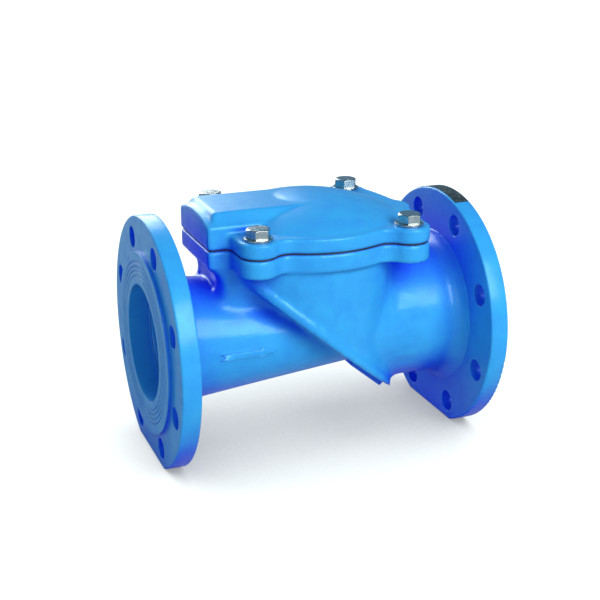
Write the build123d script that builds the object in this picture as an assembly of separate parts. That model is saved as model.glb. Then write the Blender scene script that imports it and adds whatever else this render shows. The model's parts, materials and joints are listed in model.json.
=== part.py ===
from build123d import *
import os
from math import cos, radians, sin

# Flanged rubber-flapper check valve, nominal bore 100, sizes in millimetres.
# Origin: centre of the inlet's raised face, on the pipe axis.
# +X is the flow direction, +Z points to the bolted cover.

# Pipe ends
BORE_R = 50.0
FACE_TO_FACE = 292.0
RAISED_R = 78.0
RAISED_H = 3.0
FLANGE_R = 107.5
FLANGE_T = 16.0
FLANGE_ROUND = 1.5
FLANGE_HOLE_R = 9.5
FLANGE_PCD = 180.0
FLANGE_HOLES = 8
FOOT_Z = -100.0
GROOVE_W = 1.0
GROOVE_DEPTH = 0.7
GROOVE_FIRST_R = 57.0
GROOVE_PITCH = 4.0
GROOVES = 4

# Seat plate, tilted across the passage
SEAT_TILT = 40.0
SEAT_X = 154.0
SEAT_T = 6.5
SEAT_LIP_H = 1.5
SEAT_LIP_W = 5.0
SEAT_R = 45.0
SEAT_SHIFT = -18.0
SEAT_RIM_OUT = 2.4
SEAT_RIM_T = 6.5

# Inlet duct, round at the flange and oval at the seat
DUCT_WALL = 6.5
DUCT_START_R = 55.5
DUCT_HALF_W = 53.5
DUCT_FALL = 0.1207
DUCT_FILLET = 9.0

# Flapper chamber and outlet
CHAMBER_X = 144.0
CHAMBER_R = 76.5
CHAMBER_STRETCH = 5.5
CHAMBER_STRETCH_Z = 10.0
CHAMBER_WALL = 6.0
OUTLET_R = 59.0
OUTLET_WALL = 6.5
OUTLET_ROUND_X = 232.0
OUTLET_FILLET = 13.0
OUTLET_BORE_LENGTH = 30.0
CREASE_ROUND = 14.0

# Bolted joint between body and cover
JOINT_Z = 85.0
BODY_FLANGE_T = 15.5
GASKET_T = 1.2
GASKET_INSET = 1.6
COVER_FLANGE_T = 12.5
RIM_CENTRE_X = 148.0
RIM_R = 81.3
TAB_X = 47.0
TAB_HALF_W = 40.0
TAB_REACH = 70.0
END_X = 238.5
END_R = 230.0
NUB_X = 222.0
NUB_R = 22.0
LEFT_EAR = (81.5, 63.0)
LEFT_EAR_R = 16.5
RIGHT_EAR = (213.0, 66.0)
RIGHT_EAR_R = 17.5
WAIST_R = 14.0
TAB_FILLET = 5.0
EDGE_ROUND = 1.6
NECK_ROUND = 8.0

# Cover fasteners
BOLT_R = 6.0
BOLT_FLATS = 18.0
BOLT_HEAD_H = 7.5
BOLT_TIP_OUT = 1.6
BOLT_HOLE_CLEARANCE = 0.75
THREAD_CLEARANCE = 0.04
WASHER_R = 12.0
WASHER_CLEARANCE = 0.5
WASHER_T = 2.3

# Cover crown
BLOCK_SIDE_Z = 105.5
BLOCK_ARCH = 7.0
BLOCK_X = 112.0
PLATEAU_Z = 115.0
PLATEAU_HALF_W = 29.0
PLATEAU_FOOT_HALF_W = 38.0
PLATEAU_STEP = 4.0
PLATEAU_RAMP = 4.0
PLATEAU_X = 145.0
DOME_X = 148.0
DOME_R = 77.0
DOME_Z = 117.5
DOME_FILLET = 4.0
BLOCK_ROUND = 2.5
PLATEAU_ROUND = 3.0
COVER_WALL = 7.0

# Flapper
DISC_R = 51.0
DISC_T = 12.0
DISC_GAP = 0.3
NECK_T = 8.0
NECK_HALF_W = 22.0
NECK_MID = 8.0
BEAD_R = 8.0
BEAD_HALF_L = 25.0
BEAD_TO_PIVOT = 12.0
BEAD_GAP = 0.1
NECK_GAP = 0.3
KNUCKLE_GAP = 0.05
NECK_START = 3.0
SLOT_SIDE = 2.5
PLATE_R = 43.0
PLATE_T = 5.0
FABRIC_T = 1.5
FABRIC_HALF_W = 18.0
BAR_R = 3.0
BAR_HALF_L = 22.0

# Cast details
ARROW_X = 51.0
ARROW_L = 49.0
ARROW_H = 9.0
ARROW_Z = -1.5
ARROW_PROUD = 1.0
PAD_HALF_W = 15.0
PAD_T = 8.6
PAD_FACE = 13.0
PAD_START = 50.0
PAD_END = 90.0
LABEL_T = 0.3
LABEL_FROM = -17.0
LABEL_TO = 22.0

# Worked out from the above
FAR = 400.0
COVER_Z = JOINT_Z + GASKET_T
COVER_TOP = COVER_Z + COVER_FLANGE_T
TILT = radians(SEAT_TILT)
SEAT = Plane(
    origin=(SEAT_X, 0, 0), x_dir=(cos(TILT), 0, -sin(TILT)), z_dir=(sin(TILT), 0, cos(TILT))
)
BOLT_HOLE_R = BOLT_R + BOLT_HOLE_CLEARANCE
WASHER_BORE_R = BOLT_R + WASHER_CLEARANCE
BEAD_Z = JOINT_Z + GASKET_T / 2
BEAD_S = -(BEAD_Z - NECK_MID * cos(TILT)) / sin(TILT)
PIVOT_S = BEAD_S + BEAD_TO_PIVOT
PIVOT_X = SEAT_X + PIVOT_S * cos(TILT) + NECK_MID * sin(TILT)
PIVOT_Z = -PIVOT_S * sin(TILT) + NECK_MID * cos(TILT)
DISC_N = SEAT_LIP_H + DISC_GAP
EARS = [(x, side * y) for x, y in (LEFT_EAR, RIGHT_EAR) for side in (1, -1)]


def pipe_round(radius, start, end):
    """A round bar on the pipe axis between two stations."""
    return Pos((start + end) / 2, 0, 0) * Rot(0, 90, 0) * Cylinder(radius, end - start)


def on_seat(shape, s=0.0, y=0.0, n=0.0):
    """Places a shape at s down the seat's slope and n above the seat face."""
    return SEAT * (Pos(s, y, n) * shape)


def above_seat(offset):
    """Everything downstream of the plane that lies offset above the seat face."""
    return on_seat(Box(2 * FAR, 2 * FAR, FAR), n=offset + FAR / 2)


def below_seat(offset):
    """Everything upstream of the plane that lies offset above the seat face."""
    return on_seat(Box(2 * FAR, 2 * FAR, FAR), n=offset - FAR / 2)


def oval(x, half_w, half_h):
    """An oval section across the pipe at station x."""
    across = Plane(origin=(x, 0, 0), x_dir=(0, 1, 0), z_dir=(1, 0, 0))
    return across * Ellipse(half_w, half_h)


def slab(face, low, high):
    """A plan outline raised between two heights."""
    return extrude(Pos(0, 0, low) * face, high - low)


def pipe_flange():
    """One end flange about the pipe axis, its raised face at x = 0, body towards +X."""
    back = RAISED_H + FLANGE_T
    disc = pipe_round(FLANGE_R, RAISED_H, back)
    foot = Box(FAR, FAR, FAR)
    disc -= Pos(0, 0, FOOT_Z - FAR / 2) * foot
    sides = disc.faces().sort_by(Axis.X)
    disc = fillet(sides[0].edges() + sides[-1].edges(), FLANGE_ROUND)
    flange = disc + pipe_round(RAISED_R, 0, back / 2)
    for k in range(GROOVES):
        radius = GROOVE_FIRST_R + k * GROOVE_PITCH
        ring = pipe_round(radius + GROOVE_W / 2, 0, GROOVE_DEPTH)
        ring -= pipe_round(radius - GROOVE_W / 2, 0, GROOVE_DEPTH)
        flange -= ring
    hole = pipe_round(FLANGE_HOLE_R, -1, back + 1)
    for k in range(FLANGE_HOLES):
        flange -= Rot(360 / FLANGE_HOLES * (k + 0.5), 0, 0) * Pos(0, 0, FLANGE_PCD / 2) * hole
    return flange


def duct(shrink):
    """The inlet duct's solid: a circle at the flange that flattens towards the seat."""
    start = RAISED_H + FLANGE_T / 2
    end = SEAT_X + CHAMBER_R
    sections = []
    narrow = [(x, DUCT_HALF_W) for x in (70, 120, end)]
    for x, half_w in [(start, DUCT_START_R)] + narrow:
        half_h = DUCT_START_R - DUCT_FALL * (x - start)
        sections.append(oval(x, half_w - shrink, half_h - shrink))
    return loft(sections)


def chamber(shrink, top):
    """The chamber's vertical-walled solid, a little longer at the top than at mid height."""
    low = Pos(CHAMBER_X, 0, CHAMBER_STRETCH_Z) * Circle(CHAMBER_R - shrink)
    high = Pos(CHAMBER_X, 0, JOINT_Z) * Ellipse(
        CHAMBER_R + CHAMBER_STRETCH - shrink, CHAMBER_R - shrink
    )
    upper = loft([low, high])
    upper &= Pos(0, 0, top - FAR / 2) * Box(2 * FAR, 2 * FAR, FAR)
    return upper + extrude(low, -FLANGE_R - CHAMBER_STRETCH_Z)


def outlet(shrink, end):
    """The outlet's solid: as wide as the chamber at its middle, round near the flange."""
    wide = CHAMBER_R - shrink
    r = OUTLET_R - shrink
    sections = [
        oval(CHAMBER_X, wide, r),
        oval(CHAMBER_X + 32, 0.47 * wide + 0.53 * r, r),
        oval(CHAMBER_X + 60, 0.1 * wide + 0.9 * r, r),
        oval(OUTLET_ROUND_X, r, r),
    ]
    return loft(sections) + pipe_round(r, OUTLET_ROUND_X, end)


def joint_outline():
    """Plan outline shared by the body's top flange, the gasket and the cover."""
    plan = Pos(RIM_CENTRE_X, 0) * Circle(RIM_R)
    end = Pos(END_X - END_R, 0) * Circle(END_R)
    end &= Pos(RIM_CENTRE_X + END_R / 2, 0) * Rectangle(END_R, 2 * RIGHT_EAR[1])
    plan += end + Pos(NUB_X, 0) * Circle(NUB_R)
    for (x, y), radius in ((LEFT_EAR, LEFT_EAR_R), (RIGHT_EAR, RIGHT_EAR_R)):
        plan += Pos(x, 0) * Rectangle(2 * radius, 2 * y)
        plan += Pos(x, y) * Circle(radius) + Pos(x, -y) * Circle(radius)
    plan = offset(offset(plan, WAIST_R), -WAIST_R)
    tab = Pos(TAB_X + TAB_REACH / 2, 0) * RectangleRounded(TAB_REACH, 2 * TAB_HALF_W, 3)
    plan += tab
    inner = plan.vertices().filter_by(
        lambda v: abs(abs(v.Y) - TAB_HALF_W) < 0.01 and TAB_X + 8 < v.X < LEFT_EAR[0]
    )
    return fillet(inner, TAB_FILLET)


def flat_sides(solid):
    """Edges of a slab's two flat faces."""
    faces = solid.faces()
    return faces.sort_by(Axis.Z)[0].edges() + faces.sort_by(Axis.Z)[-1].edges()


def neck_slot():
    """Room for the flapper's neck between its clamped bead and the chamber."""
    length = -PIVOT_S + BEAD_TO_PIVOT - CHAMBER_R / 2
    floor = NECK_MID - NECK_T / 2 - NECK_GAP
    box = Box(length, 2 * (NECK_HALF_W + SLOT_SIDE), FAR / 4)
    return on_seat(box, s=BEAD_S + length / 2, n=floor + FAR / 8)


def bead_groove():
    """The half-round pockets in body and cover that clamp the flapper's bead."""
    bar = Rot(90, 0, 0) * Cylinder(BEAD_R + BEAD_GAP, 2 * (BEAD_HALF_L + BEAD_GAP))
    return on_seat(bar, s=BEAD_S, n=NECK_MID)


def cavity():
    """The space downstream of the seat: chamber, outlet passage and outlet bore."""
    end = FACE_TO_FACE - OUTLET_BORE_LENGTH
    room = chamber(CHAMBER_WALL, JOINT_Z) + outlet(OUTLET_WALL, end)
    room &= above_seat(0)
    return room + pipe_round(BORE_R, end - 1, FACE_TO_FACE + 1)


def inlet_passage():
    """The space upstream of the seat, with the round opening through the seat plate."""
    passage = duct(DUCT_WALL) & below_seat(-SEAT_T)
    passage += pipe_round(BORE_R, -1, RAISED_H + FLANGE_T)
    opening = Cylinder(SEAT_R, 3 * SEAT_T)
    return passage + on_seat(opening, s=SEAT_SHIFT)


def flow_arrow():
    """The raised cast arrow on the duct's side, pointing with the flow."""
    head = ARROW_L - 1.6 * ARROW_H
    h = ARROW_H / 2
    shape = Polyline(
        (0, h * 0.6), (head, h * 0.6), (head, h), (ARROW_L, 0), (head, -h),
        (head, -h * 0.6), (0, -h * 0.6), (h, 0), (0, h * 0.6),
    )
    side = Plane(origin=(ARROW_X, 0, ARROW_Z), x_dir=(1, 0, 0), z_dir=(0, -1, 0))
    prism = extrude(side * make_face(shape), 2 * DUCT_HALF_W)
    return prism & duct(-ARROW_PROUD)


def in_crease(edge):
    """True for an edge where the chamber's wall meets the top of the outlet."""
    middle = edge @ 0.5
    return (
        edge.geom_type == GeomType.BSPLINE
        and CHAMBER_X + OUTLET_R / 2 < middle.X < OUTLET_ROUND_X - 1
        and abs(middle.Y) > OUTLET_R / 3
        and middle.Z > OUTLET_R / 3
    )


def seat_rim():
    """The edge of the seat plate, standing a little proud of the chamber's wall."""
    room = chamber(-SEAT_RIM_OUT, JOINT_Z - BODY_FLANGE_T / 2)
    room += outlet(-SEAT_RIM_OUT, OUTLET_ROUND_X)
    return room & above_seat(-SEAT_T) & below_seat(SEAT_RIM_T - SEAT_T)


def body_shell():
    """The casting's outside, before it is hollowed."""
    sleeve = FLANGE_T / 2
    downstream = chamber(0, JOINT_Z - BODY_FLANGE_T / 2) + outlet(0, FACE_TO_FACE - sleeve)
    downstream &= above_seat(-SEAT_T)
    downstream = fillet(downstream.edges().filter_by(in_crease), CREASE_ROUND)
    upstream = duct(0) & below_seat(-SEAT_T / 2)
    neck_x = TAB_X + 11
    low = JOINT_Z - BODY_FLANGE_T
    root = DUCT_START_R / 4
    back = SEAT_X - DUCT_HALF_W
    neck = Polyline(
        (TAB_X + 1, low + 1), (neck_x, low - 9), (neck_x, root), (back, root),
        (back, low + 1), (TAB_X + 1, low + 1),
    )
    across = Plane(origin=(0, TAB_HALF_W - 2, 0), x_dir=(1, 0, 0), z_dir=(0, -1, 0))
    neck = extrude(across * make_face(neck), 2 * (TAB_HALF_W - 2))
    corners = neck.edges().filter_by(Axis.Z).filter_by_position(Axis.X, neck_x - 1, neck_x + 1)
    neck = fillet(corners, NECK_ROUND)
    return upstream, downstream, neck


def flare(body, x, reach, radius):
    """Rounds the corner where a pipe stub meets the back of its flange at station x."""
    corner = body.edges().filter_by_position(Axis.X, x - 0.01, x + 0.01)
    corner = corner.filter_by(
        lambda e: all(Vector(0, (e @ t).Y, (e @ t).Z).length < reach for t in (0, 0.5, 1))
    )
    return fillet(corner, radius)


def valve_body():
    """The cast body with both pipe flanges, seat, chamber and the cover's flange."""
    upstream, downstream, neck = body_shell()
    top = slab(joint_outline(), JOINT_Z - BODY_FLANGE_T, JOINT_Z)
    top = fillet(flat_sides(top), EDGE_ROUND)
    body = upstream + downstream + neck + top + seat_rim()
    body += pipe_flange()
    body += Pos(FACE_TO_FACE, 0, 0) * Rot(0, 0, 180) * pipe_flange()
    inner = RAISED_H + FLANGE_T
    body = flare(body, inner, DUCT_START_R + 1, DUCT_FILLET)
    body = flare(body, FACE_TO_FACE - inner, OUTLET_R + 1, OUTLET_FILLET)
    body += flow_arrow()
    pad = Box(PAD_END - PAD_START, 2 * PAD_HALF_W, PAD_T)
    body += on_seat(pad, s=(PAD_START + PAD_END) / 2, n=PAD_T / 2 - PAD_FACE)
    body -= inlet_passage()
    body -= cavity()
    lip = Cylinder(SEAT_R + SEAT_LIP_W, SEAT_LIP_H) - Cylinder(SEAT_R, SEAT_LIP_H)
    body += on_seat(lip, s=SEAT_SHIFT, n=SEAT_LIP_H / 2)
    body -= neck_slot() + bead_groove()
    for x, y in EARS:
        body -= Pos(x, y, JOINT_Z) * Cylinder(BOLT_R, 3 * BODY_FLANGE_T)
    return body


def crown(shrink):
    """The cover's round dome, a shallow cap of a ball."""
    rise = DOME_Z - COVER_TOP
    ball_r = (DOME_R**2 + rise**2) / (2 * rise)
    ball = Pos(DOME_X, 0, DOME_Z - ball_r) * Sphere(ball_r - shrink)
    post = Pos(DOME_X, 0, COVER_Z + FAR / 2) * Cylinder(DOME_R - shrink, FAR)
    return ball & post


def hinge_block():
    """The block over the flapper's clamped bead: arched ends and a sloped plateau."""
    w = TAB_HALF_W
    low = COVER_Z + 1
    side = Line((-w, low), (-w, BLOCK_SIDE_Z))
    arch = ThreePointArc((-w, BLOCK_SIDE_Z), (0, BLOCK_SIDE_Z + BLOCK_ARCH), (w, BLOCK_SIDE_Z))
    rest = Polyline((w, BLOCK_SIDE_Z), (w, low), (-w, low))
    across = Plane(origin=(TAB_X, 0, 0), x_dir=(0, 1, 0), z_dir=(1, 0, 0))
    block = extrude(across * make_face(side + arch + rest), BLOCK_X - TAB_X)
    return fillet(block.edges().filter_by(lambda e: e.center().Z > low + 1), BLOCK_ROUND)


def plateau():
    """The sloped step on the hinge block that rises to the plateau."""
    low = TAB_X + PLATEAU_STEP
    high = low + PLATEAU_RAMP
    base = Pos((low + PLATEAU_X) / 2, 0, BLOCK_SIDE_Z)
    base *= Rectangle(PLATEAU_X - low, 2 * PLATEAU_FOOT_HALF_W)
    lid = Pos((high + PLATEAU_X) / 2, 0, PLATEAU_Z)
    lid *= Rectangle(PLATEAU_X - high, 2 * PLATEAU_HALF_W)
    step = loft([base, lid])
    slopes = step.edges().filter_by(lambda e: abs((e @ 0).Z - (e @ 1).Z) > 1)
    return fillet(step.faces().sort_by(Axis.Z)[-1].edges() + slopes, PLATEAU_ROUND)


def on_dome_base(edge):
    """True for an edge where the dome meets the top of the cover's flange."""
    ends = [edge @ t for t in (0, 0.5, 1)]
    level = all(abs(p.Z - COVER_TOP) < 0.01 for p in ends)
    return level and all(abs(Vector(p.X - DOME_X, p.Y).length - DOME_R) < 0.1 for p in ends)


def cover():
    """The bolted cover with its dome, hinge block and hollow."""
    plate = slab(joint_outline(), COVER_Z, COVER_TOP)
    plate = fillet(flat_sides(plate), EDGE_ROUND)
    shell = plate + crown(0) + hinge_block() + plateau()
    shell = fillet(shell.edges().filter_by(on_dome_base), DOME_FILLET)
    hollow = crown(COVER_WALL)
    pocket_x = PIVOT_X + BEAD_R + COVER_WALL
    pocket = Box(DOME_X - pocket_x, 2 * (PLATEAU_HALF_W - 1), BLOCK_SIDE_Z - COVER_Z - 2)
    hollow += Pos((pocket_x + DOME_X) / 2, 0, (COVER_Z + BLOCK_SIDE_Z - 2) / 2) * pocket
    shell -= hollow
    shell -= bead_groove()
    for x, y in EARS:
        shell -= Pos(x, y, COVER_TOP) * Cylinder(BOLT_HOLE_R, 3 * COVER_FLANGE_T)
    return shell


def cover_gasket():
    """The flat gasket between body and cover."""
    plan = offset(joint_outline(), -GASKET_INSET)
    plan -= Pos(CHAMBER_X, 0) * Ellipse(
        CHAMBER_R + CHAMBER_STRETCH - CHAMBER_WALL, CHAMBER_R - CHAMBER_WALL
    )
    for x, y in EARS:
        plan -= Pos(x, y) * Circle(BOLT_HOLE_R)
    sheet = slab(plan, JOINT_Z, COVER_Z)
    return sheet - neck_slot() - bead_groove()


def hinge_bead():
    """The flapper's clamped rubber bead, up to the line where its neck bends."""
    bead = Rot(90, 0, 0) * Cylinder(BEAD_R, 2 * BEAD_HALF_L)
    stub = Pos(BEAD_TO_PIVOT / 2, 0, 0) * Box(BEAD_TO_PIVOT, 2 * NECK_HALF_W, NECK_T)
    nose = Pos(BEAD_TO_PIVOT, 0, 0) * Rot(90, 0, 0) * Cylinder(NECK_T / 2, 2 * NECK_HALF_W)
    rubber = bead + stub + nose
    rubber -= Rot(90, 0, 0) * Cylinder(BAR_R, 2 * BAR_HALF_L)
    return on_seat(rubber, s=BEAD_S, n=NECK_MID)


def hinge_bar():
    """The steel bar moulded into the bead."""
    bar = Rot(90, 0, 0) * Cylinder(BAR_R - THREAD_CLEARANCE, 2 * (BAR_HALF_L - THREAD_CLEARANCE))
    return on_seat(bar, s=BEAD_S, n=NECK_MID)


def flapper_rubber():
    """The moving rubber: sealing disc and neck, hollow for its steel and fabric."""
    disc = Pos(SEAT_SHIFT, 0, DISC_N + DISC_T / 2) * Cylinder(DISC_R, DISC_T)
    disc = fillet(disc.edges(), 2)
    start = PIVOT_S + NECK_START
    neck = Pos((start + SEAT_SHIFT) / 2, 0, NECK_MID)
    neck *= Box(SEAT_SHIFT - start, 2 * NECK_HALF_W, NECK_T)
    knuckle = Pos(PIVOT_S, 0, NECK_MID) * Rot(90, 0, 0)
    knuckle *= Cylinder(NECK_T / 2 + KNUCKLE_GAP, 3 * NECK_HALF_W)
    rubber = disc + neck - knuckle
    return SEAT * rubber - flapper_plate() - neck_fabric()


def flapper_plate():
    """The steel disc that stiffens the flapper."""
    return on_seat(Cylinder(PLATE_R, PLATE_T), s=SEAT_SHIFT, n=NECK_MID)


def neck_fabric():
    """The woven reinforcement in the moving neck."""
    start = PIVOT_S + NECK_START + 2
    end = SEAT_SHIFT - PLATE_R - 1
    fabric = Box(end - start, 2 * FABRIC_HALF_W, FABRIC_T)
    return on_seat(fabric, s=(start + end) / 2, n=NECK_MID)


def cover_bolt(x, y):
    """A hexagon bolt through the cover into the body's tapped ear."""
    seat = COVER_TOP + WASHER_T
    head = extrude(RegularPolygon(BOLT_FLATS / 2, 6, major_radius=False), BOLT_HEAD_H)
    cone = Cone(BOLT_FLATS / 2 + BOLT_HEAD_H * 2, BOLT_FLATS / 2 - 0.6, BOLT_HEAD_H)
    head &= Pos(0, 0, BOLT_HEAD_H / 2) * cone
    tip = JOINT_Z - BODY_FLANGE_T - BOLT_TIP_OUT
    shank = Pos(0, 0, -(seat - tip) / 2) * Cylinder(BOLT_R - THREAD_CLEARANCE, seat - tip)
    shank = chamfer(shank.edges().sort_by(Axis.Z)[0], 1)
    return Pos(x, y, seat) * (head + shank)


def cover_washer(x, y):
    """A flat washer under a bolt's head."""
    ring = Cylinder(WASHER_R, WASHER_T)
    ring = chamfer(ring.edges().sort_by(Axis.Z)[-1], 0.4)
    ring -= Cylinder(WASHER_BORE_R, 2 * WASHER_T)
    return Pos(x, y, COVER_TOP + WASHER_T / 2) * ring


def rating_label():
    """The thin blank label wrapped over the top of the outlet flange's rim."""
    start = FACE_TO_FACE - RAISED_H - FLANGE_T + FLANGE_ROUND
    end = FACE_TO_FACE - RAISED_H - FLANGE_ROUND
    ring = pipe_round(FLANGE_R + LABEL_T, start, end) - pipe_round(FLANGE_R, start, end)
    wedge = Polyline(
        (0, 0),
        (FAR * sin(radians(LABEL_FROM)), FAR * cos(radians(LABEL_FROM))),
        (FAR * sin(radians(LABEL_TO)), FAR * cos(radians(LABEL_TO))),
        (0, 0),
    )
    across = Plane(origin=(start - 1, 0, 0), x_dir=(0, 1, 0), z_dir=(1, 0, 0))
    return ring & extrude(across * make_face(wedge), end - start + 2)


def write(name, shape):
    """Writes one sub-part."""
    export_step(shape, f"parts/{name}.step")
    print(f"{name:16s} volume {shape.volume / 1000:9.2f} cm3")


os.makedirs("parts", exist_ok=True)
write("valve_body", valve_body())
write("cover", cover())
write("cover_gasket", cover_gasket())
write("hinge_bead", hinge_bead())
write("hinge_bar", hinge_bar())
write("flapper_rubber", flapper_rubber())
write("flapper_plate", flapper_plate())
write("neck_fabric", neck_fabric())
for index, (x, y) in enumerate(EARS, start=1):
    write(f"cover_bolt_{index}", cover_bolt(x, y))
    write(f"cover_washer_{index}", cover_washer(x, y))
write("rating_label", rating_label())
print(f"flapper pivot at x {PIVOT_X:.2f}, z {PIVOT_Z:.2f}")
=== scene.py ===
# %% [markdown]
# A flanged swing check valve, dressed for a studio picture.
# The castings, bolts and flapper come from the CAD frame at their real size, in metres.
# This file adds what the frame doesn't hold: thick glossy epoxy on softened castings,
# a flapper in one moulding, zinc plating, and the light.

# %% Load the frame
import bmesh
import bpy
import json
from math import cos, pi, radians, sin
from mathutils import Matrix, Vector
from mathutils.bvhtree import BVHTree


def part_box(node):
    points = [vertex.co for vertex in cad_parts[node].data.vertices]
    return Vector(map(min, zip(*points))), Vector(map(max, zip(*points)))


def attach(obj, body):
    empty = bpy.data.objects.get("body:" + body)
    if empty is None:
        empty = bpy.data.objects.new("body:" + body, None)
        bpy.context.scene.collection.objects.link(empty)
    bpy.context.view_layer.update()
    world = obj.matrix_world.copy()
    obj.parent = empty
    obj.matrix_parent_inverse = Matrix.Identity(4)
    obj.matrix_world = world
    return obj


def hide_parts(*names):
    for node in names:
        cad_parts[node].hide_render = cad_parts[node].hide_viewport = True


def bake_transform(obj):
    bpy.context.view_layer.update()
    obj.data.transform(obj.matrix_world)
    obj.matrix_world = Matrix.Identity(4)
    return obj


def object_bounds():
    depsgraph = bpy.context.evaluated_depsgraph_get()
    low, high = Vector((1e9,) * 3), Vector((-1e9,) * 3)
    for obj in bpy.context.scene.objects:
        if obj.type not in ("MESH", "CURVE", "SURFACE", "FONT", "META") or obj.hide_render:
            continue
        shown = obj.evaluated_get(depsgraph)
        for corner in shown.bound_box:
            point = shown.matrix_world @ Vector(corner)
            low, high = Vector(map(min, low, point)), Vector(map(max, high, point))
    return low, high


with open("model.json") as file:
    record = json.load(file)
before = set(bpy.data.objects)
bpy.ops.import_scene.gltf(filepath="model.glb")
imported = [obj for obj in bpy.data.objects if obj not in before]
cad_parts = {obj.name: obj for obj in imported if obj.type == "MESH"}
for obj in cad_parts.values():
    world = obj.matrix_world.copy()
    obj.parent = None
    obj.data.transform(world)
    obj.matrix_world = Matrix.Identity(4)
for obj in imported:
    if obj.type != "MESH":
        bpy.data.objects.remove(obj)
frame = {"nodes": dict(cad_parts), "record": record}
cad_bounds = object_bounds()
low, high = Vector(cad_bounds[0]), Vector(cad_bounds[1])
print("frame", sorted(frame["nodes"]), "box", low, high)

# %% [markdown]
# The camera comes first, so that each later step can be looked at from where it counts.
# A long lens from a little above keeps both flanges nearly round, as a product view does.
# An empty to aim at would work too; turning the view direction into angles needs no extra object.

# %% Camera
MM = 0.001
AZIMUTH, DOWN = radians(21.53), radians(19.35)
DISTANCE, LENS, SENSOR = 1.0509, 71.5, 36.0
AIM_OFFSET = Vector((-2.3, 4.5, 9.5)) * MM
aim = (low + high) / 2 + AIM_OFFSET
forward = Vector((sin(AZIMUTH) * cos(DOWN), cos(AZIMUTH) * cos(DOWN), -sin(DOWN)))
camera_data = bpy.data.cameras.new("studio_camera")
camera_data.lens, camera_data.sensor_width = LENS, SENSOR
camera = bpy.data.objects.new("studio_camera", camera_data)
camera.location = aim - forward * DISTANCE
camera.rotation_euler = (pi / 2 - DOWN, 0.0, -AZIMUTH)
bpy.context.collection.objects.link(camera)
bpy.context.scene.camera = camera
bpy.context.scene.view_settings.view_transform = "Standard"
print("camera at", camera.location)


# %% [markdown]
# Glossy paint shows the room more than it shows light, so the lights are large soft boxes.
# Small lamps would leave hard dots on the casting. The key box stands at the front right and
# lights the long side, the back box glances off the flat tops, and a weak one lifts the left.
# The room is a dim blue where the paint mirrors it, which keeps the shaded sides blue, and
# plain white where the camera sees it over the floor's edge.

# %% Lights and floor
def soft_box(name, place, size, power):
    """A square area light at a place, facing the middle of the object."""
    data = bpy.data.lights.new(name, "AREA")
    data.shape, data.size, data.energy = "SQUARE", size, power
    lamp = bpy.data.objects.new(name, data)
    lamp.location = Vector(place)
    lamp.rotation_euler = (aim - Vector(place)).to_track_quat("-Z", "Y").to_euler()
    bpy.context.collection.objects.link(lamp)


soft_box("key_box", (0.75, -2.1, 1.45), 1.5, 63.0)
soft_box("back_box", (-0.1, 2.5, 1.15), 1.9, 60.0)
soft_box("left_box", (-1.4, -2.2, 1.2), 1.6, 11.0)

DIM_BLUE, WHITE = (0.11, 0.225, 0.36, 1.0), (1.0, 1.0, 1.0, 1.0)
world = bpy.data.worlds.new("pale_room")
world.use_nodes = True
sky_nodes, sky_links = world.node_tree.nodes, world.node_tree.links
ray, wall = sky_nodes.new("ShaderNodeLightPath"), sky_nodes.new("ShaderNodeMix")
wall.data_type = "RGBA"
wall.inputs[6].default_value, wall.inputs[7].default_value = DIM_BLUE, WHITE
sky_links.new(ray.outputs["Is Camera Ray"], wall.inputs["Factor"])
sky_links.new(wall.outputs[2], sky_nodes["Background"].inputs["Color"])
bpy.context.scene.world = world

FLOOR_SIZE, FLOOR_GAP = 160.0, 0.1 * MM
floor_mesh = bmesh.new()
bmesh.ops.create_grid(floor_mesh, x_segments=4, y_segments=4, size=FLOOR_SIZE / 2)
bmesh.ops.translate(floor_mesh, vec=(aim.x, aim.y, low.z - FLOOR_GAP), verts=floor_mesh.verts)
floor_data = bpy.data.meshes.new("floor")
floor_mesh.to_mesh(floor_data)
floor_mesh.free()
floor = bpy.data.objects.new("floor", floor_data)
bpy.context.collection.objects.link(floor)
print("lights", len(bpy.data.lights), "floor at", low.z)


# %% [markdown]
# Materials are built from small node trees. These two helpers keep the later cells short:
# one adds a node and sets its sockets, the other joins an output to an input.

# %% Node helpers
def add(tree, kind, **sockets):
    """A new node; keywords name its inputs, with _ for a space, or its own properties."""
    node = tree.nodes.new(kind)
    for key, value in sockets.items():
        name = key.replace("_", " ")
        if name in node.inputs:
            node.inputs[name].default_value = value
        else:
            setattr(node, key, value)
    return node


def join(tree, source, target):
    """Links one socket to another."""
    tree.links.new(source, target)


def new_group(name, inputs, outputs):
    """An empty shader group with its sockets, and its two end nodes."""
    tree = bpy.data.node_groups.new(name, "ShaderNodeTree")
    for label, kind, value in inputs:
        socket = tree.interface.new_socket(label, in_out="INPUT", socket_type=kind)
        socket.default_value = value
    for label, kind in outputs:
        tree.interface.new_socket(label, in_out="OUTPUT", socket_type=kind)
    return tree, tree.nodes.new("NodeGroupInput"), tree.nodes.new("NodeGroupOutput")


def place_group(tree, group, **sockets):
    """A group node in a material, with its own values."""
    node = tree.nodes.new("ShaderNodeGroup")
    node.node_tree = group
    for key, value in sockets.items():
        node.inputs[key.replace("_", " ")].default_value = value
    return node


FLOAT, VECTOR = "NodeSocketFloat", "NodeSocketVector"
print("helpers ready")

# %% [markdown]
# A painted casting is never smooth. Sand leaves slow waves and small bumps in the iron,
# and thick paint flows into a fine orange peel over them. Both are noise at two sizes,
# so one group serves every painted or moulded surface, with its own strengths.

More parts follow.
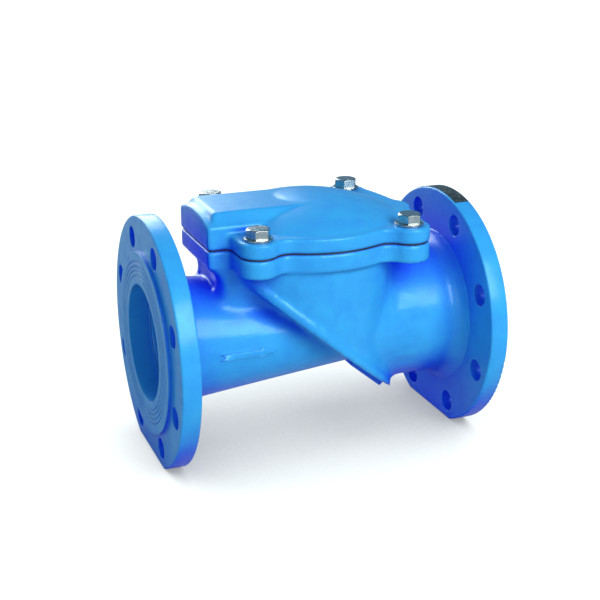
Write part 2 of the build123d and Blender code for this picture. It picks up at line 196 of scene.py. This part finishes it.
# %% Group: skin of waves and peel
skin, skin_in, skin_out = new_group(
    "cast_skin",
    [("Wave Size", FLOAT, 90.0), ("Peel Size", FLOAT, 500.0), ("Wave", FLOAT, 0.6), ("Peel", FLOAT, 0.3)],
    [("Height", FLOAT), ("Mottle", FLOAT)],
)
place = add(skin, "ShaderNodeTexCoord")
waves = add(skin, "ShaderNodeTexNoise", Detail=3.0, Roughness=0.55)
peel = add(skin, "ShaderNodeTexNoise", Detail=2.0, Roughness=0.45)
for noise, size in ((waves, "Wave Size"), (peel, "Peel Size")):
    join(skin, place.outputs["Object"], noise.inputs["Vector"])
    join(skin, skin_in.outputs[size], noise.inputs["Scale"])
wave_height = add(skin, "ShaderNodeMath", operation="MULTIPLY")
join(skin, waves.outputs["Fac"], wave_height.inputs[0])
join(skin, skin_in.outputs["Wave"], wave_height.inputs[1])
peel_height = add(skin, "ShaderNodeMath", operation="MULTIPLY_ADD")
join(skin, peel.outputs["Fac"], peel_height.inputs[0])
join(skin, skin_in.outputs["Peel"], peel_height.inputs[1])
join(skin, wave_height.outputs[0], peel_height.inputs[2])
join(skin, peel_height.outputs[0], skin_out.inputs["Height"])
join(skin, waves.outputs["Fac"], skin_out.inputs["Mottle"])
print("group", skin.name)

# %% [markdown]
# Paint thins over a corner and gathers in a groove. The Bevel node gives the normal of a
# rounded corner; how far it leans from the real normal says how near an edge the point is.
# The group gives that mask, and the rounded normal, which softens each corner as paint does.

# %% Group: paint over edges
film, film_in, film_out = new_group(
    "paint_film", [("Radius", FLOAT, 1.5 * MM)], [("Edge", FLOAT), ("Normal", VECTOR)]
)
rounded = add(film, "ShaderNodeBevel", samples=4)
flat = add(film, "ShaderNodeNewGeometry")
lean = add(film, "ShaderNodeVectorMath", operation="DOT_PRODUCT")
edge = add(film, "ShaderNodeMapRange", clamp=True)
edge.inputs["From Min"].default_value, edge.inputs["From Max"].default_value = 0.995, 0.75
join(film, film_in.outputs["Radius"], rounded.inputs["Radius"])
join(film, rounded.outputs["Normal"], lean.inputs[0])
join(film, flat.outputs["Normal"], lean.inputs[1])
join(film, lean.outputs["Value"], edge.inputs["Value"])
join(film, edge.outputs["Result"], film_out.inputs["Edge"])
join(film, rounded.outputs["Normal"], film_out.inputs["Normal"])
print("group", film.name)


# %% [markdown]
# The castings wear fusion-bonded epoxy: deep azure, very glossy, a little uneven.
# A clear coat over a satin base gives the wet highlight with colour still under it.
# Colour varies slowly with the waves, and turns paler where the film is thin on corners.
# In hollows, under the cover and between the parts, where shade falls, the colour turns a deep
# royal blue: painted shade. The Ambient Occlusion node measures how closed in a point is and sets how
# much.

# %% Material: blue epoxy
def mix_colour(tree, mask, one, two):
    """A colour mix driven by a mask; one and two are colours or sockets."""
    mix = add(tree, "ShaderNodeMix", data_type="RGBA")
    join(tree, mask, mix.inputs["Factor"])
    for index, colour in ((6, one), (7, two)):
        if isinstance(colour, tuple):
            mix.inputs[index].default_value = colour
        else:
            join(tree, colour, mix.inputs[index])
    return mix.outputs[2]


def new_material(name):
    """A material with its Principled shader."""
    material = bpy.data.materials.new(name)
    material.use_nodes = True
    return material, material.node_tree, material.node_tree.nodes["Principled BSDF"]


def remap(tree, source, reads, gives=(0.0, 1.0)):
    """Maps one range of values onto another, held at the ends."""
    node = add(tree, "ShaderNodeMapRange", clamp=True)
    for label, value in zip(("From Min", "From Max", "To Min", "To Max"), (*reads, *gives)):
        node.inputs[label].default_value = value
    join(tree, source, node.inputs["Value"])
    return node.outputs["Result"]


NOISE_MIDDLE = (0.3, 0.7)


def spread(tree, source, lowest, highest):
    """Maps the middle of a noise to a range of values."""
    return remap(tree, source, NOISE_MIDDLE, (lowest, highest))


PAINTED_SHADE_BLUE, DEEP_BLUE = (0.010, 0.055, 0.84, 1), (0.034, 0.320, 0.74, 1)
AZURE, PALE_AZURE = (0.042, 0.390, 0.77, 1), (0.09, 0.56, 0.86, 1)
epoxy, tree, paint = new_material("blue_epoxy")
relief = place_group(tree, skin, Wave_Size=60.0, Peel_Size=620.0, Wave=0.50, Peel=0.62)
edges = place_group(tree, film, Radius=1.6 * MM)
tone = spread(tree, relief.outputs["Mottle"], 0.0, 1.0)
# Painted shade: the Ambient Occlusion mask turns closed-in places royal blue.
hollow = add(tree, "ShaderNodeAmbientOcclusion", samples=8, Distance=90.0 * MM)
out_of_painted_shade = remap(tree, hollow.outputs["AO"], (0.34, 0.74))
open_colour = mix_colour(tree, tone, DEEP_BLUE, AZURE)
colour_with_painted_shade = mix_colour(tree, out_of_painted_shade, PAINTED_SHADE_BLUE, open_colour)
thin = add(tree, "ShaderNodeMath", operation="MULTIPLY")
thin.inputs[1].default_value = 0.45
join(tree, edges.outputs["Edge"], thin.inputs[0])
join(tree, mix_colour(tree, thin.outputs[0], colour_with_painted_shade, PALE_AZURE), paint.inputs["Base Color"])
join(tree, spread(tree, relief.outputs["Mottle"], 0.38, 0.28), paint.inputs["Roughness"])
paint.inputs["Specular IOR Level"].default_value = 0.40
paint.inputs["Specular Tint"].default_value = (0.30, 0.95, 1.0, 1)
paint.inputs["Coat Weight"].default_value = 0.20
paint.inputs["Coat Roughness"].default_value = 0.16
paint.inputs["Coat Tint"].default_value = (0.80, 0.97, 1.0, 1)
bump = add(tree, "ShaderNodeBump", Strength=0.6, Distance=0.5 * MM)
join(tree, relief.outputs["Height"], bump.inputs["Height"])
join(tree, edges.outputs["Normal"], bump.inputs["Normal"])
join(tree, bump.outputs["Normal"], paint.inputs["Normal"])
print("material", epoxy.name)

# %% [markdown]
# The floor is white paper. Seen directly it glows until it is burnt out, as a studio sweep is,
# and close under the casting, where Ambient Occlusion finds it closed in, the glow is dimmed to grey: a
# painted contact shadow.
# Seen in the paint it should be grey all over, or every lower wall would turn milky. The
# Light Path node tells the two apart, which is kinder to the model than dimming the lights.

# %% Material: pale floor
floor_material, tree, sheet_paper = new_material("pale_floor")
grain = add(tree, "ShaderNodeTexNoise", Scale=40.0, Detail=3.0)
place = add(tree, "ShaderNodeTexCoord")
join(tree, place.outputs["Object"], grain.inputs["Vector"])
seen = add(tree, "ShaderNodeLightPath")
seen_paper = mix_colour(tree, grain.outputs["Fac"], (0.20, 0.20, 0.19, 1), (0.22, 0.22, 0.21, 1))
paper = mix_colour(tree, seen.outputs["Is Camera Ray"], (0.46, 0.50, 0.54, 1), seen_paper)
join(tree, paper, sheet_paper.inputs["Base Color"])
sheet_paper.inputs["Roughness"].default_value = 0.9
sheet_paper.inputs["Specular IOR Level"].default_value = 0.0
sheet_paper.inputs["Emission Color"].default_value = (0.96, 1.0, 0.98, 1)
# Painted shadow: Ambient Occlusion dims the floor's glow to grey close under the casting.
contact_shadow_probe = add(tree, "ShaderNodeAmbientOcclusion", samples=12, Distance=260.0 * MM)
shade = remap(tree, contact_shadow_probe.outputs["AO"], (0.22, 0.74), (0.30, 1.05))
glow = add(tree, "ShaderNodeMath", operation="MULTIPLY")
join(tree, shade, glow.inputs[1])
join(tree, seen.outputs["Is Camera Ray"], glow.inputs[0])
join(tree, glow.outputs[0], sheet_paper.inputs["Emission Strength"])
floor.data.materials.append(floor_material)

# %% [markdown]
# The bolts and washers are zinc plated: a bright metal with a faint cool and warm bloom,
# and fine turning marks. Metallic is full, and roughness does the rest.

# %% Material: bright zinc
zinc, tree, metal = new_material("bright_zinc")
relief = place_group(tree, skin, Wave_Size=260.0, Peel_Size=2400.0, Wave=0.5, Peel=0.5)
bloom = spread(tree, relief.outputs["Mottle"], 0.0, 1.0)
plating = mix_colour(tree, bloom, (0.36, 0.42, 0.42, 1), (0.60, 0.62, 0.56, 1))
join(tree, plating, metal.inputs["Base Color"])
metal.inputs["Metallic"].default_value = 1.0
join(tree, spread(tree, relief.outputs["Mottle"], 0.16, 0.30), metal.inputs["Roughness"])
edges = place_group(tree, film, Radius=0.5 * MM)
bump = add(tree, "ShaderNodeBump", Strength=0.25, Distance=0.1 * MM)
join(tree, relief.outputs["Height"], bump.inputs["Height"])
join(tree, edges.outputs["Normal"], bump.inputs["Normal"])
join(tree, bump.outputs["Normal"], metal.inputs["Normal"])
print("material", zinc.name)

# %% [markdown]
# Rubber is nearly black and matt, with a fine moulded grain and a dusty bloom.
# The gasket sheet and the flapper use the same recipe at different grain sizes.

# %% Materials: rubber
def rubber_material(name, grain_size, dark, dusty):
    """Black rubber with a fine grain."""
    material, tree, rubber = new_material(name)
    relief = place_group(tree, skin, Wave_Size=45.0, Peel_Size=grain_size, Wave=0.3, Peel=0.7)
    colour = mix_colour(tree, spread(tree, relief.outputs["Mottle"], 0.0, 1.0), dark, dusty)
    join(tree, colour, rubber.inputs["Base Color"])
    join(tree, spread(tree, relief.outputs["Mottle"], 0.45, 0.62), rubber.inputs["Roughness"])
    bump = add(tree, "ShaderNodeBump", Strength=0.3, Distance=0.15 * MM)
    join(tree, relief.outputs["Height"], bump.inputs["Height"])
    join(tree, bump.outputs["Normal"], rubber.inputs["Normal"])
    return material


BLACK_SHEET, DUSTY_SHEET = (0.010, 0.010, 0.012, 1), (0.030, 0.030, 0.034, 1)
BLACK_MOULDING, DUSTY_MOULDING = (0.016, 0.016, 0.018, 1), (0.040, 0.040, 0.042, 1)
gasket_rubber = rubber_material("gasket_rubber", 1400.0, BLACK_SHEET, DUSTY_SHEET)
flap_rubber = rubber_material("flap_rubber", 1900.0, BLACK_MOULDING, DUSTY_MOULDING)
print("materials", gasket_rubber.name, flap_rubber.name)

# %% [markdown]
# The steel insert and the woven ply sit inside the rubber, where they are seen only when the
# flapper is cut open. They still get their own finish: brushed steel, and a plain weave made
# of two crossed waves.

# %% Materials: inserts and ply
steel, tree, metal = new_material("steel_insert")
place = add(tree, "ShaderNodeTexCoord")
stretch = add(tree, "ShaderNodeMapping")
stretch.inputs["Scale"].default_value = (1.0, 25.0, 1.0)
brush = add(tree, "ShaderNodeTexNoise", Scale=90.0, Detail=4.0)
join(tree, place.outputs["Object"], stretch.inputs["Vector"])
join(tree, stretch.outputs["Vector"], brush.inputs["Vector"])
steel_colour = mix_colour(tree, brush.outputs["Fac"], (0.42, 0.42, 0.43, 1), (0.60, 0.60, 0.60, 1))
join(tree, steel_colour, metal.inputs["Base Color"])
metal.inputs["Metallic"].default_value = 1.0
join(tree, spread(tree, brush.outputs["Fac"], 0.28, 0.45), metal.inputs["Roughness"])

ply, tree, cloth = new_material("woven_ply")
place = add(tree, "ShaderNodeTexCoord")
yarns = [add(tree, "ShaderNodeTexWave", Scale=400.0, bands_direction=way) for way in ("Y", "DIAGONAL")]
for yarn in yarns:
    join(tree, place.outputs["Object"], yarn.inputs["Vector"])
weave = add(tree, "ShaderNodeMath", operation="MAXIMUM")
join(tree, yarns[0].outputs["Fac"], weave.inputs[0])
join(tree, yarns[1].outputs["Fac"], weave.inputs[1])
yarn_colour = mix_colour(tree, weave.outputs[0], (0.30, 0.28, 0.22, 1), (0.60, 0.57, 0.46, 1))
join(tree, yarn_colour, cloth.inputs["Base Color"])
cloth.inputs["Roughness"].default_value = 0.85
print("materials", steel.name, ply.name)

# %% [markdown]
# The label over the outlet flange is a dark printed film, left blank here. Its gloss is
# broken by scuffs where it has been handled, and its colour by faint greenish flecks.

# %% Material: label film
label_film, tree, film_shader = new_material("label_film")
place = add(tree, "ShaderNodeTexCoord")
flecks = add(tree, "ShaderNodeTexVoronoi", Scale=700.0)
scuffs = add(tree, "ShaderNodeTexNoise", Scale=350.0, Detail=5.0, Roughness=0.7)
for texture in (flecks, scuffs):
    join(tree, place.outputs["Object"], texture.inputs["Vector"])
scuffed = remap(tree, scuffs.outputs["Fac"], (0.55, 0.68))
INK, GREEN_INK, WORN = (0.006, 0.012, 0.010, 1), (0.035, 0.050, 0.040, 1), (0.30, 0.33, 0.30, 1)
film_colour = mix_colour(tree, flecks.outputs["Distance"], INK, GREEN_INK)
film_colour = mix_colour(tree, scuffed, film_colour, WORN)
join(tree, film_colour, film_shader.inputs["Base Color"])
join(tree, spread(tree, scuffs.outputs["Fac"], 0.18, 0.5), film_shader.inputs["Roughness"])
print("material", label_film.name)

# %% [markdown]
# The record names a finish for every node. Each finish becomes one of the materials above.

# %% Dress the frame
FINISHES = {
    "blue_epoxy": epoxy,
    "gasket_rubber": gasket_rubber,
    "flap_rubber": flap_rubber,
    "steel_insert": steel,
    "woven_ply": ply,
    "bright_zinc": zinc,
    "label_film": label_film,
}
for part in frame["record"]["subparts"]:
    mesh = frame["nodes"][part["node"]].data
    mesh.materials.clear()
    mesh.materials.append(FINISHES[part["material_slot"]])

# %% [markdown]
# A casting has no sharp corner: sand and paint round every edge, inside and out.
# A Bevel modifier fails on curves that cross, so the casting is rebuilt on a fine grid of
# cubes, a voxel remesh, and then smoothed, which rounds corners and fills creases alike.
# The flanges are turned on a lathe and stay crisp, so each casting is cut where they start.

# %% Helpers: cut and soften a casting
WELD, ON_PLANE = 0.002 * MM, 0.001 * MM


def merged_copy(node):
    """A welded copy of a frame node's mesh, as a bmesh."""
    shape = bmesh.new()
    shape.from_mesh(frame["nodes"][node].data)
    bmesh.ops.remove_doubles(shape, verts=shape.verts, dist=WELD)
    return shape


def cut(shape, place, way):
    """Keeps what lies behind a plane and closes the cut wall, leaving bore and holes open."""
    bmesh.ops.bisect_plane(
        shape, geom=shape.verts[:] + shape.edges[:] + shape.faces[:], dist=ON_PLANE,
        plane_co=place, plane_no=way, clear_outer=True,
    )
    rim = [edge for edge in shape.edges if edge.is_boundary]
    bmesh.ops.triangle_fill(shape, edges=rim, use_beauty=True, normal=way)
    print("cut at", place, "rim of", len(rim), "edges")


def finish_piece(shape, name, material, body, slot, *nodes):
    """Turns a bmesh into a piece of the model."""
    data = bpy.data.meshes.new(name)
    shape.to_mesh(data)
    shape.free()
    data.materials.append(material)
    piece = bpy.data.objects.new(name, data)
    bpy.context.collection.objects.link(piece)
    if body:
        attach(piece, body)
    if nodes:
        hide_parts(*nodes)
    return piece


def apply_modifiers(piece):
    """Bakes a piece's modifiers into its mesh."""
    ready = bpy.data.meshes.new_from_object(
        piece.evaluated_get(bpy.context.evaluated_depsgraph_get())
    )
    piece.modifiers.clear()
    piece.data = ready


def soften(piece, voxel, rounds):
    """Rebuilds a piece on a fine grid and smooths it."""
    grid = piece.modifiers.new("grid", "REMESH")
    grid.mode, grid.voxel_size, grid.use_smooth_shade = "VOXEL", voxel, True
    wear = piece.modifiers.new("soften", "SMOOTH")
    wear.factor, wear.iterations = 0.5, rounds
    apply_modifiers(piece)

# %% [markdown]
# The cover is one casting with no turned face outside, so the whole of it is softened.
# It gets a finer grid than the body, because its edges are the ones nearest to the eye.

# %% Soft cover
def soft_casting(node, voxel, rounds):
    """A softened stand-in for one cast node."""
    piece = finish_piece(merged_copy(node), node + "_casting", epoxy, "housing", "blue_epoxy", node)
    soften(piece, voxel, rounds)
    return piece


cover = soft_casting("cover", 1.25 * MM, 5)
print("cover", len(cover.data.polygons), "faces")

# %% [markdown]
# The body is cut just inside the two flange discs. The middle is softened, and its cut ends
# are hidden inside the discs, where the fillets run out flat against the flange's back.
# A rim of each disc is left on the middle, with its bolt holes; it is drawn in under the
# bolt circle and sunk into the disc, so nothing of it shows in the holes.

# %% Soft body between crisp flanges
FLANGE_BACK, INSET = 19.0 * MM, 1.5 * MM
STUB_RADIUS, DRAWN = 70.0 * MM, 0.1
body_low, body_high = (Vector(corner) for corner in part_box("valve_body"))
near_end, far_end = body_low.x + FLANGE_BACK, body_high.x - FLANGE_BACK
for name, place, way in (("inlet_flange", near_end, 1), ("outlet_flange", far_end, -1)):
    shape = merged_copy("valve_body")
    cut(shape, (place, 0, 0), (way, 0, 0))
    disc = finish_piece(shape, name, epoxy, "housing", "blue_epoxy", "valve_body")
    print(name, len(disc.data.polygons), "faces")

shape = merged_copy("valve_body")
cut(shape, (near_end - INSET, 0, 0), (-1, 0, 0))
cut(shape, (far_end + INSET, 0, 0), (1, 0, 0))
middle = finish_piece(shape, "body_casting", epoxy, "housing", "blue_epoxy", "valve_body")
soften(middle, 1.6 * MM, 5)
for vertex in middle.data.vertices:
    from_end = min(vertex.co.x - body_low.x, body_high.x - vertex.co.x)
    spoke = Vector((0, vertex.co.y, vertex.co.z))
    if spoke.length > STUB_RADIUS and from_end < FLANGE_BACK + INSET:
        spoke *= (STUB_RADIUS + DRAWN * (spoke.length - STUB_RADIUS)) / spoke.length
        vertex.co = (vertex.co.x + (-INSET if vertex.co.x < aim.x else INSET), spoke.y, spoke.z)
print("middle", len(middle.data.vertices), "points")

# %% [markdown]
# Where the neck under the tab meets the pipe the real corner is a wide hollow. A bigger
# grid would round the whole body as much, so that region alone is smoothed many more times
# through a vertex group, whose weights fade out towards its edge.

# %% Wide hollow round the neck
gasket_low, gasket_high = (Vector(corner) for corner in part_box("cover_gasket"))
NECK_FOOT = Vector((gasket_low.x + 28 * MM, 0, 37 * MM))
NECK_REACH = Vector((40, 52, 34)) * MM
FADE, SPARED_HALF_WIDTH, ROUNDS = 2.5, 20 * MM, 140


def near_neck(point):
    """How far into the neck's foot a point lies: 1 in the middle, 0 outside."""
    away = max(abs(point[i] - NECK_FOOT[i]) / NECK_REACH[i] for i in range(3))
    return max(0.0, min(1.0, FADE * (1.0 - away)))


foot = middle.vertex_groups.new(name="neck_foot")
for vertex in middle.data.vertices:
    weight = near_neck(vertex.co) if abs(vertex.co.y) > SPARED_HALF_WIDTH else 0.0
    if weight:
        foot.add([vertex.index], weight, "REPLACE")
flow = middle.modifiers.new("flow", "SMOOTH")
flow.factor, flow.iterations, flow.vertex_group = 0.5, ROUNDS, "neck_foot"
apply_modifiers(middle)

# %% [markdown]
# The fine grid leaves far more faces than plain walls need. The Decimate modifier merges
# them where that changes the shape least, which keeps the body's mesh light. A coarser grid
# would be light too, but it blurs the seat plate's rim and leaves steps along it.

# %% Fewer faces where the body is flat
TRIANGLES = 190000
slim = middle.modifiers.new("slim", "DECIMATE")
slim.ratio = TRIANGLES / (2 * len(middle.data.polygons))
apply_modifiers(middle)
print("body", len(middle.data.polygons), "faces")

# %% [markdown]
# Bolts and washers are pressed and turned, with small bright radii that catch the light.
# Their frame shapes are plain enough for a Bevel modifier limited by angle, which keeps
# every flat true and rounds only the real corners.

# %% Bolts and washers with bright edges
CORNER_RADIUS, CORNER_ANGLE = 0.35 * MM, radians(28)
for number in range(1, 5):
    for kind in ("cover_bolt", "cover_washer"):
        node = f"{kind}_{number}"
        piece = finish_piece(merged_copy(node), node + "_plated", zinc, "housing", "bright_zinc", node)
        radius = piece.modifiers.new("radius", "BEVEL")
        radius.width, radius.segments, radius.limit_method = CORNER_RADIUS, 2, "ANGLE"
        radius.angle_limit = CORNER_ANGLE
        apply_modifiers(piece)
print("plated", number, "bolts and", number, "washers")

# %% [markdown]
# The flapper is one rubber moulding: a clamped bead, a neck that bends, and the disc.
# The frame splits it where the neck bends. Here both halves are welded into one skin on a
# fine grid.

# %% One-piece flapper
def length_of(shell):
    """A shell's length along the pipe."""
    return max(v.co.x for v in shell) - min(v.co.x for v in shell)


def keep_outer_shell(shape):
    """Deletes every separate shell but the longest, such as the pocket round an insert."""
    left, shells = set(shape.verts), []
    while left:
        shell, waiting = set(), [left.pop()]
        while waiting:
            vertex = waiting.pop()
            shell.add(vertex)
            for link in vertex.link_edges:
                other = link.other_vert(vertex)
                if other in left:
                    left.remove(other)
                    waiting.append(other)
        shells.append(shell)
    keep = max(shells, key=length_of)
    bmesh.ops.delete(shape, geom=[v for v in shape.verts if v not in keep], context="VERTS")


rubber = bmesh.new()
for node in ("hinge_bead", "flapper_rubber"):
    half = merged_copy(node)
    keep_outer_shell(half)
    passing = bpy.data.meshes.new("passing")
    half.to_mesh(passing)
    half.free()
    rubber.from_mesh(passing)
    bpy.data.meshes.remove(passing)
flapper = finish_piece(
    rubber, "flapper_moulding", flap_rubber, None, "flap_rubber", "hinge_bead", "flapper_rubber"
)
soften(flapper, 1.0 * MM, 3)
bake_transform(flapper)

# %% [markdown]
# The flow arrow is cast on the pipe's side, barely proud, with soft shoulders. Its
# outline is drawn flat, pushed onto the round pipe by casting rays, and then thickened.

# %% Cast arrow
ARROW_START, ARROW_LENGTH, ARROW_HEIGHT, ARROW_LEVEL = 51 * MM, 49 * MM, 9 * MM, -1.5 * MM
ARROW_PROUD, ARROW_SHOULDER, ARROW_DEEP = 0.25 * MM, 0.1 * MM, 1.0 * MM
IN_FRONT = -0.2
h = ARROW_HEIGHT / 2
head = ARROW_LENGTH - 3.2 * h
outline = [
    (0, 0.6 * h), (head, 0.6 * h), (head, h), (ARROW_LENGTH, 0),
    (head, -h), (head, -0.6 * h), (0, -0.6 * h), (h, 0),
]
arrow = bmesh.new()
corners = [arrow.verts.new((ARROW_START + x, IN_FRONT, ARROW_LEVEL + z)) for x, z in outline]
face = arrow.faces.new(corners)
bmesh.ops.inset_individual(arrow, faces=[face], thickness=0.5 * MM)
bmesh.ops.triangulate(arrow, faces=arrow.faces[:])
bmesh.ops.subdivide_edges(arrow, edges=arrow.edges[:], cuts=3, use_grid_fill=True)
bmesh.ops.recalc_face_normals(arrow, faces=arrow.faces[:])
border = {v for e in arrow.edges if e.is_boundary for v in e.verts}
surface = BVHTree.FromObject(middle, bpy.context.evaluated_depsgraph_get())
for vertex in arrow.verts:
    hit = surface.ray_cast(vertex.co, Vector((0, 1, 0)))[0]
    vertex.co.y = hit.y + (ARROW_SHOULDER if vertex in border else -ARROW_PROUD)
back = bmesh.ops.extrude_face_region(arrow, geom=arrow.faces[:])
for item in back["geom"]:
    if isinstance(item, bmesh.types.BMVert):
        item.co.y += ARROW_DEEP
bmesh.ops.recalc_face_normals(arrow, faces=arrow.faces[:])
for face in arrow.faces:
    face.smooth = True
cast_arrow = finish_piece(arrow, "cast_arrow", epoxy, "housing", "blue_epoxy")
print("arrow", len(cast_arrow.data.polygons), "faces")
